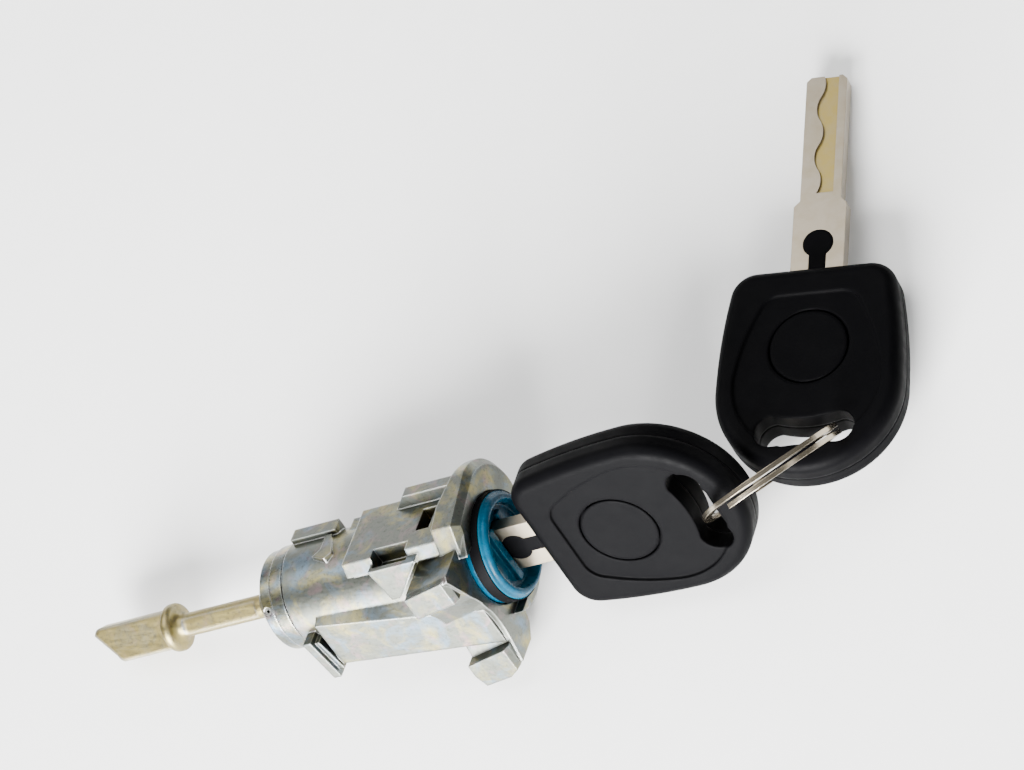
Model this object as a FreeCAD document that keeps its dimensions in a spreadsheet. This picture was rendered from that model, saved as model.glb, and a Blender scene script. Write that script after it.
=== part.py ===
import FreeCAD, Part
import math
import os
import Sketcher

# Car door lock cylinder with a key in its plug and a spare key on a split ring.
# Lengths are millimetres and angles degrees.
# A lock piece is drawn in the lock's own frame: X along the axis and out of the face,
# Y away from the viewer and Z up the key's width, with the origin at the housing's face.
# A key piece is drawn in the key's own frame: X across, Y to the tip, Z out of the front shell,
# with the origin where the blade leaves the bow.

SIZES = {
    # Stance of the lock as it lies on the bench
    "nose_lift": 5.7,
    "roll": -26.5,
    # Barrel of the die-cast housing
    "barrel_radius": 9.3,
    "barrel_past_plug": 5.2,
    "collar_radius": 11.3,
    "collar_length": 3.9,
    "cap_seat_depth": 3.3,
    "running_gap": 0.05,
    "free_gap": 0.3,
    "collar_relief_depth": 1.7,
    "collar_relief_top": 6.6,
    "collar_relief_low": -9.6,
    # Head of the flange
    "head_length": 5.0,
    "head_centre_back": 4.2,
    "head_centre_up": 4.0,
    "head_radius": 9.2,
    "head_lip_out": -6.6,
    "head_lip_top": 11.7,
    "head_root_out": -8.8,
    "head_root_up": 7.0,
    "head_bevel": 1.2,
    "head_far_length": 1.2,
    "head_wedge_start": -3.0,
    "head_wedge_low": 3.0,
    "head_tail_back": 5.65,
    "head_tail_low": -8.5,
    # Foot of the flange
    "foot_setback": 1.7,
    "foot_length": 8.9,
    "foot_skew": 0.2,
    "foot_top": 8.2,
    "foot_inner": 6.4,
    "foot_reach": 15.4,
    "foot_bevel": 0.8,
    "foot_knee_out": 12.4,
    "foot_knee_place": 0.8,
    "foot_waist_out": 10.1,
    "foot_waist_place": -6.4,
    "foot_ankle_out": 10.5,
    "foot_ankle_place": -11.2,
    "foot_toe_out": 11.4,
    "foot_toe_low": -15.3,
    "foot_sole_back": 3.6,
    "foot_sole_height": -13.6,
    "foot_root": 2.0,
    "sole_middle_out": 6.2,
    "sole_middle_low": -15.4,
    # Raised blocks on the foot's outer side, the pad above and the toe below
    "raised_front": 2.1,
    "raised_rear": 10.8,
    "raised_bevel": 0.8,
    "pad_out": 15.6,
    "pad_depth": 4.4,
    "pad_front_top": 7.7,
    "pad_rear_top": 6.0,
    "pad_front_low": 3.0,
    "pad_rear_low": 1.6,
    "toe_out": 12.6,
    "toe_depth": 3.0,
    "toe_front_top": -11.2,
    "toe_rear_top": -12.9,
    "toe_front_low": -15.5,
    "toe_tip_place": 4.7,
    "toe_tip_low": -17.1,
    "toe_heel_place": 9.9,
    "toe_heel_low": -17.8,
    "toe_rear_low": -15.3,
    # Block on top of the barrel
    "block_top": 10.0,
    "block_front": -2.0,
    "block_rear": 23.6,
    "block_side": 8.2,
    "block_back": 5.6,
    "block_side_top": 7.4,
    "block_shelf": 8.9,
    "block_shelf_rear": 26.2,
    "block_side_low": 7.6,
    "block_under_out": 6.4,
    "block_under_low": 6.2,
    "ledge_top": 12.4,
    "ledge_side": 3.4,
    "ledge_rear": 15.9,
    "ledge_ramp": 2.4,
    "window_front": 7.5,
    "window_length": 2.6,
    "window_side": 3.3,
    "window_width": 5.1,
    # Pocket in the block and the gusset that closes it
    "pocket_front": 11.0,
    "pocket_length": 6.9,
    "pocket_side": 5.4,
    "pocket_floor": 6.9,
    "gusset_out": 9.7,
    "gusset_wall": 0.9,
    "gusset_top": 8.9,
    "gusset_low": 2.2,
    "gusset_front": 9.0,
    "gusset_rear": 18.3,
    "gusset_toe_front": 15.9,
    "gusset_toe_rear": 17.5,
    # Web along the barrel's side
    "web_rear": 33.4,
    "web_front": 2.6,
    "web_out": 10.8,
    "web_rear_low": -7.5,
    "web_front_low": -10.9,
    "web_shoulder": 1.5,
    "web_shoulder_front": -3.6,
    "web_root_up": 2.2,
    "web_root_out": 8.6,
    "web_inner_out": 5.2,
    # Fin at the rear
    "fin_front": 34.0,
    "fin_width": 1.5,
    "fin_lean": 1.2,
    "fin_top": -0.6,
    "fin_low": -8.9,
    "fin_out": 12.3,
    "fin_root": 3.0,
    "fin_rib": 0.9,
    # Rib and boss on the rear of the barrel
    "rib_front": 28.4,
    "rib_length": 9.2,
    "rib_side": 2.6,
    "rib_width": 2.6,
    "rib_top": 10.0,
    "rib_root": 7.0,
    "boss_front": 27.6,
    "boss_length": 4.0,
    "boss_side": 3.9,
    "boss_top": 9.6,
    "boss_arm": 1.2,
    "boss_heel": 2.8,
    "boss_end": 2.2,
    # Plug and its sleeve
    "plug_radius": 6.6,
    "plug_face": 1.2,
    "plug_head_length": 3.6,
    "plug_length": 33.0,
    "sleeve_wall": 1.35,
    "sleeve_length": 26.8,
    "tongue_side": 5.6,
    "tongue_length": 6.0,
    # Wafers
    "wafer_count": 8,
    "wafer_pitch": 2.45,
    "wafer_first": 8.3,
    "wafer_thickness": 0.95,
    "wafer_gap": 0.08,
    "wafer_half_width": 3.5,
    "wafer_travel": 0.9,
    "wafer_ear": 1.4,
    "wafer_ear_height": 1.1,
    "wafer_inset": 0.25,
    "wafer_spring_radius": 0.55,
    "wafer_spring_length": 1.5,
    "channel_width": 1.5,
    # Washer and return spring
    "washer_length": 0.8,
    "spring_wire": 0.8,
    "spring_radius": 6.35,
    "spring_pitch": 1.25,
    "spring_turns": 2.25,
    "spring_past_plug": 0.9,
    "disc_hub_gap": 0.5,
    # Driver at the rear
    "disc_past_plug": 4.5,
    "disc_radius": 8.9,
    "disc_rim_length": 2.4,
    "cone_gap": 0.35,
    "cone_radius": 8.5,
    "cone_rim_length": 1.9,
    "cone_length": 6.0,
    "cone_nose_radius": 3.2,
    "spigot_radius": 4.6,
    "spigot_length": 2.4,
    # Tail shaft
    "shaft_radius": 2.05,
    "shaft_past_barrel": 6.4,
    "tail_collar_front": 66.5,
    "tail_collar_length": 1.8,
    "tail_collar_radius": 4.2,
    "tail_collar_flare": 1.5,
    "tail_collar_round": 0.6,
    "tail_flare_rise": 1.2,
    "tail_end": 83.9,
    "paddle_thickness": 2.6,
    "paddle_up": 3.3,
    "paddle_low": 3.4,
    "tail_turn": -30.0,
    "paddle_round_run": 1.9,
    "paddle_round_drop": 1.2,
    "paddle_slant": 3.4,
    "shaft_flat": 1.55,
    "pin_radius": 0.65,
    "pin_hole": 0.3,
    "pin_past_barrel": 4.35,
    "pin_sunk": 0.12,
    # Plastic face cap and its seal
    "cap_front": 2.5,
    "cap_radius": 9.1,
    "cap_front_radius": 8.6,
    "cap_rim_round": 0.7,
    "cap_dish_radius": 6.9,
    "cap_dish_depth": 1.9,
    "cap_rib_height": 1.0,
    "cap_rib_width": 1.4,
    "cap_rib_length": 10.6,
    "cap_rib_gap": 0.45,
    "seal_wire": 0.45,
    "seal_half_length": 1.0,
    "seal_place": 0.2,
    "seal_radius": 8.85,
    # Key blade
    "blade_half_width": 3.5,
    "blade_base_half_width": 4.5,
    "blade_step": 13.9,
    "blade_tip": 37.9,
    "blade_thickness": 2.56,
    "blade_tip_bevel": 0.8,
    "blade_tang": 11.0,
    "tang_half_width": 3.0,
    "track_depth": 0.45,
    "track_start": 15.2,
    "track_edge": 2.1,
    "track_shift": -0.8,
    "track_wave": 1.3,
    "track_waves": 5,
    "tongue_eye_place": 5.5,
    "tongue_eye_radius": 2.65,
    "tongue_stem": 2.9,
    "tongue_eye_start": 2.1,
    # Key bow
    "bow_length": 37.3,
    "bow_half_width": 15.6,
    "bow_side_radius": 100.0,
    "bow_corner_radius": 4.6,
    "bow_half_thickness": 3.9,
    "bow_round": 1.9,
    "parting_gap": 0.14,
    "panel_depth": 0.45,
    "panel_top": 5.2,
    "panel_top_half_width": 7.9,
    "panel_half_width": 12.2,
    "panel_wide_place": 19.0,
    "panel_end": 33.6,
    "panel_sag": 0.5,
    "panel_corner": 2.6,
    "panel_corner_pull": 0.7,
    "slot_place": 30.0,
    "slot_lobe": 2.95,
    "slot_half_length": 5.4,
    "slot_neck_top": 27.9,
    "slot_neck_low": 32.7,
    "badge_place": 14.9,
    "badge_radius": 6.45,
    "badge_groove": 0.35,
    "badge_thickness": 1.0,
    "chip_radius": 1.1,
    "chip_length": 12.0,
    "chip_place": 24.6,
    # Places of the two keys on the lock
    "key_reach": 8.85,
    "spare_forward": 54.8,
    "spare_back": 39.52,
    "spare_up": -7.17,
    "spare_heading": -2.19,
    "spare_tip_drop": 5.98,
    "spare_roll": 8.47,
    # Split ring
    "ring_radius": 12.28,
    "ring_wire_width": 0.78,
    "ring_wire_depth": 1.4,
    "ring_pitch": 1.22,
    "ring_jog_start": 0.75,
    "ring_jog_length": 0.235,
    "ring_x": 49.54,
    "ring_y": 2.19,
    "ring_z": 2.17,
    "ring_heading": 115.36,
    "ring_lean": 59.8,
    "ring_start": 150.0,
}

doc = FreeCAD.newDocument("door_lock_cylinder")
sheet = doc.addObject("Spreadsheet::Sheet", "Sizes")
for row, (name, value) in enumerate(SIZES.items(), start=1):
    sheet.set(f"A{row}", name)
    sheet.set(f"B{row}", str(value))
    sheet.setAlias(f"B{row}", name)
doc.recompute()


class Size:
    """A length with its value and the sheet formula that gives it."""

    def __init__(self, value, text):
        self.value = value
        self.text = text

    def __add__(self, other):
        other = as_size(other)
        return Size(self.value + other.value, f"({self.text} + {other.text})")

    def __sub__(self, other):
        other = as_size(other)
        return Size(self.value - other.value, f"({self.text} - {other.text})")

    def __mul__(self, other):
        other = as_size(other)
        return Size(self.value * other.value, f"({self.text} * {other.text})")

    def __truediv__(self, other):
        other = as_size(other)
        return Size(self.value / other.value, f"({self.text} / {other.text})")

    def __neg__(self):
        return Size(-self.value, f"(-1 * {self.text})")

    def root(self):
        return Size(math.sqrt(self.value), f"sqrt({self.text})")

    __radd__ = __add__
    __rmul__ = __mul__

    def __rsub__(self, other):
        return as_size(other) - self


def as_size(number):
    """A plain number as a Size."""
    return number if isinstance(number, Size) else Size(float(number), repr(float(number)))


class Sheet:
    """The sheet's cells, by alias."""

    def __getattr__(self, name):
        return Size(SIZES[name], f"Sizes.{name}")


s = Sheet()
barrel_end = s.plug_length + s.barrel_past_plug
disc_front = s.plug_length + s.disc_past_plug
shaft_front = barrel_end + s.shaft_past_barrel
parts = []


def drive(thing, prop, size):
    """Bind a property to the sheet."""
    thing.setExpression(prop, as_size(size).text)


def origin_plane(body, role):
    """A body's own origin plane."""
    return next(f for f in body.Origin.OriginFeatures if f.Role == role)


def new_body(label):
    """An empty body with its label."""
    body = doc.addObject("PartDesign::Body", label)
    body.Label = label
    return body


def pin_point(sketch, geometry, end, x, y):
    """Hold a sketch point at two driven distances from the origin."""
    for kind, size in (("DistanceX", as_size(x)), ("DistanceY", as_size(y))):
        index = sketch.addConstraint(Sketcher.Constraint(kind, -1, 1, geometry, end, size.value))
        sketch.setExpression(f"Constraints[{index}]", size.text)


def add_circle(sketch, x, y, radius):
    """A driven circle."""
    centre = FreeCAD.Vector(as_size(x).value, as_size(y).value, 0)
    up = FreeCAD.Vector(0, 0, 1)
    geometry = sketch.addGeometry(Part.Circle(centre, up, as_size(radius).value))
    pin_point(sketch, geometry, 3, x, y)
    index = sketch.addConstraint(Sketcher.Constraint("Radius", geometry, as_size(radius).value))
    sketch.setExpression(f"Constraints[{index}]", as_size(radius).text)


def add_outline(sketch, points):
    """A closed driven outline. A step is a corner (x, y), or (x, y, via_x, via_y) for an arc to it."""
    corners = [(as_size(p[0]), as_size(p[1])) for p in points]
    vectors = [FreeCAD.Vector(x.value, y.value, 0) for x, y in corners]
    edges = []
    for number, point in enumerate(points):
        start, end = vectors[number - 1], vectors[number]
        if len(point) == 2:
            geometry = sketch.addGeometry(Part.LineSegment(start, end))
            edges.append((geometry, 1, 2))
            continue
        via = FreeCAD.Vector(as_size(point[2]).value, as_size(point[3]).value, 0)
        turn = (via - start).cross(end - start).z
        arc = Part.Arc(start, via, end) if turn > 0 else Part.Arc(end, via, start)
        geometry = sketch.addGeometry(arc)
        edges.append((geometry, 1, 2) if turn > 0 else (geometry, 2, 1))
        mark = sketch.addGeometry(Part.Point(via), True)
        pin_point(sketch, mark, 1, point[2], point[3])
        sketch.addConstraint(Sketcher.Constraint("PointOnObject", mark, 1, geometry))
    for number, (geometry, first, _) in enumerate(edges):
        previous, _, last = edges[number - 1]
        sketch.addConstraint(Sketcher.Constraint("Coincident", previous, last, geometry, first))
        x, y = corners[number - 1]
        pin_point(sketch, geometry, first, x, y)


def new_sketch(body, role, offset, circles=(), outlines=()):
    """A sketch on one of the body's origin planes, moved along its normal."""
    sketch = body.newObject("Sketcher::SketchObject", f"{body.Label}_sketch")
    sketch.AttachmentSupport = (origin_plane(body, role), [""])
    sketch.MapMode = "FlatFace"
    drive(sketch, ".AttachmentOffset.Base.z", offset)
    for x, y, radius in circles:
        add_circle(sketch, x, y, radius)
    for points in outlines:
        add_outline(sketch, points)
    doc.recompute()
    if not sketch.FullyConstrained:
        raise RuntimeError(f"{sketch.Name} is not fully held by its sizes")
    return sketch


def volume(body):
    """The body's present volume."""
    return body.Shape.Volume if body.Tip and not body.Shape.isNull() else 0.0


def add_feature(body, kind, sketch, length, back, grows):
    """A pad or a pocket, checked to have changed the body the right way."""
    before = volume(body)
    feature = body.newObject(f"PartDesign::{kind}", f"{body.Label}_{kind.lower()}")
    feature.Profile = sketch
    drive(feature, "Length", length)
    feature.Reversed = back
    doc.recompute()
    change = volume(body) - before
    if change == 0 or (change > 0) != grows:
        raise RuntimeError(f"{body.Label}: {feature.Name} changed the volume by {change:.3f}")
    return feature


def pad(body, sketch, length, back=True):
    """Material added against the sketch's normal, or along it when back is False."""
    return add_feature(body, "Pad", sketch, length, back, True)


def pocket(body, sketch, length, back=True):
    """Material taken away against the sketch's normal, or along it when back is False."""
    return add_feature(body, "Pocket", sketch, length, not back, False)


def revolve(body, sketch, axis):
    """A full turn of a profile about a sketch axis."""
    feature = body.newObject("PartDesign::Revolution", f"{body.Label}_revolution")
    feature.Profile = sketch
    feature.ReferenceAxis = (sketch, [axis])
    feature.Angle = 360
    doc.recompute()
    return feature


def dress(body, kind, edges, prop, size):
    """A fillet or chamfer on the picked edges of the body's tip."""
    feature = body.newObject(f"PartDesign::{kind}", f"{body.Label}_{kind.lower()}")
    feature.Base = (body.Tip if body.Tip != feature else feature.BaseFeature, edges)
    drive(feature, prop, size)
    doc.recompute()
    return feature


def edges_where(shape, test):
    """Names of the edges whose bounding box centre passes the test."""
    names = []
    for number, edge in enumerate(shape.Edges, start=1):
        if test(edge):
            names.append(f"Edge{number}")
    return names


def cylinder(x, radius, length, y=0, z=0, axis="X"):
    """A round bar of the tree, along X from x towards the rear, or along Y or Z from its start."""
    bar = doc.addObject("Part::Cylinder", "bar")
    drive(bar, "Radius", radius)
    drive(bar, "Height", length)
    if axis == "X":
        bar.Placement.Rotation = FreeCAD.Rotation(FreeCAD.Vector(0, 1, 0), -90)
    elif axis == "Y":
        bar.Placement.Rotation = FreeCAD.Rotation(FreeCAD.Vector(1, 0, 0), -90)
    drive(bar, ".Placement.Base.x", x)
    drive(bar, ".Placement.Base.y", y)
    drive(bar, ".Placement.Base.z", z)
    return bar


def box(x, y, z, length, width, height):
    """A block of the tree from its low corner."""
    block = doc.addObject("Part::Box", "block")
    for prop, size in (("Length", length), ("Width", width), ("Height", height)):
        drive(block, prop, size)
    for prop, size in (("x", x), ("y", y), ("z", z)):
        drive(block, f".Placement.Base.{prop}", size)
    return block


def cut(base, *tools):
    """The base without the tools."""
    result = doc.addObject("Part::Cut", "cut")
    result.Base = base
    result.Tool = tools[0] if len(tools) == 1 else fuse(*tools)
    doc.recompute()
    return result


def fuse(*shapes):
    """The shapes as one."""
    result = doc.addObject("Part::MultiFuse", "fuse")
    result.Shapes = list(shapes)
    doc.recompute()
    return result


def common(*shapes):
    """What the shapes share."""
    result = doc.addObject("Part::MultiCommon", "common")
    result.Shapes = list(shapes)
    doc.recompute()
    return result


def keep(thing, label, place):
    """Name a finished sub-part, set it in its place and list it for export."""
    thing.Label = label
    thing.Placement = place
    parts.append(thing)
    return thing


def lock_place():
    """The lock as it lies: rolled about its axis, with the nose lifted."""
    roll = FreeCAD.Rotation(FreeCAD.Vector(1, 0, 0), SIZES["roll"])
    lift = FreeCAD.Rotation(FreeCAD.Vector(0, 1, 0), -SIZES["nose_lift"])
    return FreeCAD.Placement(FreeCAD.Vector(0, 0, 0), lift.multiply(roll))


LOCK = lock_place()


# Die-cast housing
def build_housing():
    """The zinc housing: barrel, collar, flange head and foot, block, pocket, web, fin and rib."""
    body = new_body("housing")
    diagonal = math.sqrt(0.5)
    head = [
        (s.head_root_out, s.head_root_up),
        (s.head_lip_out, s.head_lip_top),
        (s.head_centre_back, s.head_centre_up + s.head_radius),
        (s.head_centre_back + s.head_radius, s.head_centre_up,
         s.head_centre_back + s.head_radius * diagonal, s.head_centre_up + s.head_radius * diagonal),
        (s.head_tail_back, s.head_tail_low),
        (0, 0),
    ]
    pad(body, new_sketch(body, "YZ_Plane", 0, outlines=[head]), s.head_length)
    edge = edges_where(body.Shape, lambda e: e.BoundBox.XMin > -0.01 and e.BoundBox.ZMin > SIZES["head_centre_up"] - 0.01
                       and e.BoundBox.ZMax > SIZES["head_lip_top"] - 0.01)
    dress(body, "Chamfer", edge, "Size", s.head_bevel)
    wedge = [
        (-s.head_length - s.free_gap, s.head_wedge_start),
        (-s.head_length - s.free_gap, s.head_centre_back + s.head_radius + s.free_gap),
        (-s.head_far_length, s.head_centre_back + s.head_radius + s.free_gap),
    ]
    high = s.head_centre_up + s.head_radius + s.free_gap
    pocket(body, new_sketch(body, "XY_Plane", high, outlines=[wedge]), high - s.head_wedge_low)
    pad(body, new_sketch(body, "YZ_Plane", 0, [(0, 0, s.barrel_radius)]), barrel_end)
    pad(body, new_sketch(body, "YZ_Plane", 0, [(0, 0, s.collar_radius)]), s.collar_length)
    beyond = s.collar_radius + s.free_gap
    relief = [
        (-beyond, s.collar_relief_low),
        (-beyond, s.collar_relief_top),
        (0, s.collar_relief_top),
        (0, s.collar_relief_low),
    ]
    pocket(body, new_sketch(body, "YZ_Plane", 0, outlines=[relief]), s.collar_relief_depth)

    # Block on top, its raised ledge and the shelf beside the pocket
    block = [
        (-s.block_under_out, 0),
        (-s.block_under_out, s.block_under_low),
        (-s.block_side, s.block_side_low),
        (-s.block_side_top, s.block_top),
        (s.block_back, s.block_top),
        (s.block_back, 0),
    ]
    pad(body, new_sketch(body, "YZ_Plane", s.block_front, outlines=[block]), s.block_rear + s.block_front)
    shelf = [(0, 0), (0, s.block_shelf), (s.block_back, s.block_shelf), (s.block_back, 0)]
    pad(body, new_sketch(body, "YZ_Plane", s.block_front, outlines=[shelf]), s.block_shelf_rear + s.block_front)
    ledge = [
        (s.block_front, s.head_centre_up),
        (s.block_front, s.ledge_top),
        (s.ledge_ramp - s.ledge_rear, s.ledge_top),
        (-s.ledge_rear, s.block_top),
        (-s.ledge_rear, s.head_centre_up),
    ]
    pad(body, new_sketch(body, "XZ_Plane", -s.block_back, outlines=[ledge]), s.block_back - s.ledge_side, False)

    # Gusset wall outside the pocket
    gusset = [
        (-s.gusset_front, s.gusset_top),
        (-s.gusset_rear, s.gusset_top),
        (-s.gusset_toe_rear, s.gusset_low),
        (-s.gusset_toe_front, s.gusset_low),
    ]
    pad(body, new_sketch(body, "XZ_Plane", s.gusset_out, outlines=[gusset]), s.gusset_out - s.wafer_half_width)

    # Web along the barrel, wider towards the foot
    rear_web = web_section(s.web_out, s.web_rear_low, s.web_shoulder)
    front_web = web_section(s.web_out, s.web_front_low, s.web_shoulder_front)
    first = new_sketch(body, "YZ_Plane", -s.web_rear, outlines=[rear_web])
    second = new_sketch(body, "YZ_Plane", -s.web_front, outlines=[front_web])
    before = volume(body)
    loft = body.newObject("PartDesign::AdditiveLoft", "housing_web")
    loft.Profile = first
    loft.Sections = [second]
    loft.Ruled = True
    doc.recompute()
    if volume(body) <= before:
        raise RuntimeError("housing: the web added nothing")

    # Foot, leaning down towards the rear as it was drawn from the mould
    foot = [
        (-s.foot_root, 0),
        (-s.foot_inner, s.foot_top),
        (s.foot_bevel - s.foot_reach, s.foot_top),
        (-s.foot_reach, s.foot_top - s.foot_bevel),
        (-s.foot_knee_out, s.foot_knee_place),
        (-s.foot_ankle_out, s.foot_ankle_place, -s.foot_waist_out, s.foot_waist_place),
        (-s.foot_toe_out, s.foot_toe_low),
        (-s.sole_middle_out, s.sole_middle_low),
        (-s.foot_sole_back, s.foot_sole_height),
        (-s.foot_root, -s.barrel_radius),
    ]
    leg = pad(body, new_sketch(body, "YZ_Plane", -s.foot_setback, outlines=[foot]), s.foot_length)
    leg.UseCustomVector = True
    leg.Direction = FreeCAD.Vector(1, 0, SIZES["foot_skew"])
    leg.AlongSketchNormal = True
    doc.recompute()
    upper = [
        (-s.raised_front, s.pad_front_low),
        (-s.raised_front, s.pad_front_top),
        (-s.raised_rear, s.pad_rear_top),
        (-s.raised_rear, s.pad_rear_low),
    ]
    add_raised(body, upper, s.pad_out, s.pad_depth)
    lower = [
        (-s.raised_front, s.toe_front_low),
        (-s.raised_front, s.toe_front_top),
        (-s.raised_rear, s.toe_rear_top),
        (-s.raised_rear, s.toe_rear_low),
        (-s.toe_heel_place, s.toe_heel_low),
        (-s.toe_tip_place, s.toe_tip_low),
    ]
    add_raised(body, lower, s.toe_out, s.toe_depth)

    # Fin and its rib at the rear
    fin = [
        (-s.fin_front, s.fin_low),
        (-s.fin_front - s.fin_width, s.fin_low),
        (-s.fin_front - s.fin_width - s.fin_lean, s.fin_top),
        (-s.fin_front - s.fin_lean, s.fin_top),
    ]
    pad(body, new_sketch(body, "XZ_Plane", s.fin_out, outlines=[fin]), s.fin_out - s.fin_root)
    core = s.fin_width * 0.5
    fin_rib = [
        (s.fin_rib - s.fin_front, s.fin_low + s.fin_rib),
        (-s.fin_front - core, s.fin_low + s.fin_rib),
        (-s.fin_front - s.fin_lean - core, s.fin_top - s.fin_rib),
        (s.fin_rib - s.fin_front - s.fin_lean, s.fin_top - s.fin_rib),
    ]
    pad(body, new_sketch(body, "XZ_Plane", s.fin_out - s.fin_rib, outlines=[fin_rib]),
        s.fin_out - s.fin_rib - s.fin_root)

    # Rib and small boss on the rear of the barrel
    rib = [
        (s.rib_side, s.rib_root),
        (s.rib_side, s.rib_top),
        (s.rib_side + s.rib_width, s.rib_top),
        (s.rib_side + s.rib_width, s.rib_root),
    ]
    pad(body, new_sketch(body, "YZ_Plane", -s.rib_front, outlines=[rib]), s.rib_length)
    heel = s.boss_side - s.boss_arm
    boss = [
        (-s.boss_front, -heel),
        (-s.boss_front - s.boss_arm, -s.boss_side),
        (-s.boss_front - s.boss_length, -heel),
        (-s.boss_front - s.boss_heel, -s.boss_arm),
        (-s.boss_front - s.boss_heel, s.boss_end),
        (-s.boss_front - s.boss_heel + s.boss_arm, s.boss_end),
    ]
    pad(body, new_sketch(body, "XY_Plane", s.rib_root, outlines=[boss]), s.boss_top - s.rib_root, False)

    # Bore, cap seat, pocket, window and head groove
    bore = s.plug_radius + s.running_gap + s.sleeve_wall + s.running_gap
    pocket(body, new_sketch(body, "YZ_Plane", 0, [(0, 0, bore)]), barrel_end + s.free_gap)
    seat = s.cap_radius + s.free_gap
    pocket(body, new_sketch(body, "YZ_Plane", 0, [(0, 0, seat)]), s.cap_seat_depth)
    well = [
        (-s.pocket_front, s.gusset_wall - s.gusset_out),
        (-s.pocket_front - s.pocket_length, s.gusset_wall - s.gusset_out),
        (-s.pocket_front - s.pocket_length, -s.pocket_side),
        (-s.pocket_front, -s.pocket_side),
    ]
    pocket(body, new_sketch(body, "XY_Plane", s.ledge_top, outlines=[well]), s.ledge_top - s.pocket_floor)
    window = [
        (-s.window_front, -s.window_side),
        (-s.window_front - s.window_length, -s.window_side),
        (-s.window_front - s.window_length, s.window_width - s.window_side),
        (-s.window_front, s.window_width - s.window_side),
    ]
    pocket(body, new_sketch(body, "XY_Plane", s.ledge_top, outlines=[window]), s.ledge_top)
    return keep(body, "housing", LOCK)


def add_raised(body, outline, out, depth):
    """A block raised on the foot's outer side, bevelled along its front edge."""
    pad(body, new_sketch(body, "XZ_Plane", out, outlines=[outline]), depth)
    front, side = -SIZES["raised_front"], -out.value
    edge = edges_where(body.Shape, lambda e: abs(e.BoundBox.XMin - front) < 0.01 and abs(e.BoundBox.XMax - front) < 0.01
                       and abs(e.BoundBox.YMin - side) < 0.01 and abs(e.BoundBox.YMax - side) < 0.01)
    dress(body, "Chamfer", edge, "Size", s.raised_bevel)


def web_section(out, low, shoulder):
    """The web's outline across the lock: a sloping ledge, an outer wall and an underside."""
    return [
        (-s.web_root_out, s.web_root_up),
        (-out, shoulder),
        (-out, low),
        (-s.web_inner_out, low),
        (-s.web_inner_out, s.web_root_up),
    ]


build_housing()


# Sleeve round the plug
def build_sleeve():
    """The freewheel sleeve, slotted above and below for the wafers."""
    inside = s.plug_radius + s.running_gap
    front = -(s.plug_face + s.plug_head_length + s.free_gap)
    tube = cylinder(front, inside + s.sleeve_wall, s.sleeve_length)
    hole = cylinder(front, inside, s.sleeve_length)
    half = s.wafer_half_width + s.free_gap
    start = s.wafer_first - s.wafer_pitch * 0.5
    run = s.wafer_pitch * SIZES["wafer_count"]
    slot = box(-start - run, -half, -s.barrel_radius, run, half * 2, s.barrel_radius * 2)
    return keep(cut(tube, hole, slot), "sleeve", LOCK)


# Plug with its keyway and wafer slots
def build_plug():
    """The brass plug: head, body, driving tongue, keyway and wafer slots."""
    body = new_body("plug")
    bore = s.plug_radius + s.running_gap + s.sleeve_wall
    pad(body, new_sketch(body, "YZ_Plane", -s.plug_face, [(0, 0, bore)]), s.plug_head_length)
    pad(body, new_sketch(body, "YZ_Plane", -s.plug_face, [(0, 0, s.plug_radius)]), s.plug_length - s.plug_face)
    half = s.tongue_side * 0.5
    square = [(-half, -half), (half, -half), (half, half), (-half, half)]
    pad(body, new_sketch(body, "YZ_Plane", -s.plug_length, outlines=[square]), s.tongue_length)
    side = s.blade_thickness * 0.5 + s.free_gap
    wide = rectangle(side, s.blade_base_half_width + s.free_gap)
    narrow = rectangle(side, s.blade_half_width + s.free_gap)
    wide_end = s.blade_step - s.key_reach + s.free_gap
    narrow_end = s.blade_tip - s.key_reach + s.free_gap * 2
    pocket(body, new_sketch(body, "YZ_Plane", 0, outlines=[wide]), wide_end)
    pocket(body, new_sketch(body, "YZ_Plane", 0, outlines=[narrow]), narrow_end)
    thick = s.wafer_thickness * 0.5 + s.wafer_gap
    width = s.wafer_half_width + s.wafer_gap
    slot = [
        (-s.wafer_first - thick, -width),
        (thick - s.wafer_first, -width),
        (thick - s.wafer_first, width),
        (-s.wafer_first - thick, width),
    ]
    first = pocket(body, new_sketch(body, "XY_Plane", s.plug_radius, outlines=[slot]), s.plug_radius * 2)
    pattern = body.newObject("PartDesign::LinearPattern", "plug_wafer_slots")
    pattern.Originals = [first]
    pattern.Direction = (origin_plane(body, "X_Axis"), [""])
    pattern.Reversed = True
    pattern.Occurrences = SIZES["wafer_count"]
    drive(pattern, "Length", s.wafer_pitch * (SIZES["wafer_count"] - 1))
    body.Tip = pattern
    doc.recompute()
    start = s.wafer_first - s.wafer_pitch * 0.5
    run = s.wafer_pitch * SIZES["wafer_count"]
    low = -(s.wafer_ear_height * 0.5 + s.wafer_travel + s.free_gap)
    high = -low + s.wafer_spring_length
    channel = [(-start - run, low), (-start, low), (-start, high), (-start - run, high)]
    outer = s.wafer_half_width + s.channel_width
    pocket(body, new_sketch(body, "XZ_Plane", -outer, outlines=[channel]), s.channel_width, False)
    return keep(body, "plug", LOCK)


def rectangle(half_width, half_height):
    """A rectangle about the origin."""
    return [
        (-half_width, -half_height),
        (half_width, -half_height),
        (half_width, half_height),
        (-half_width, half_height),
    ]


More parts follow.
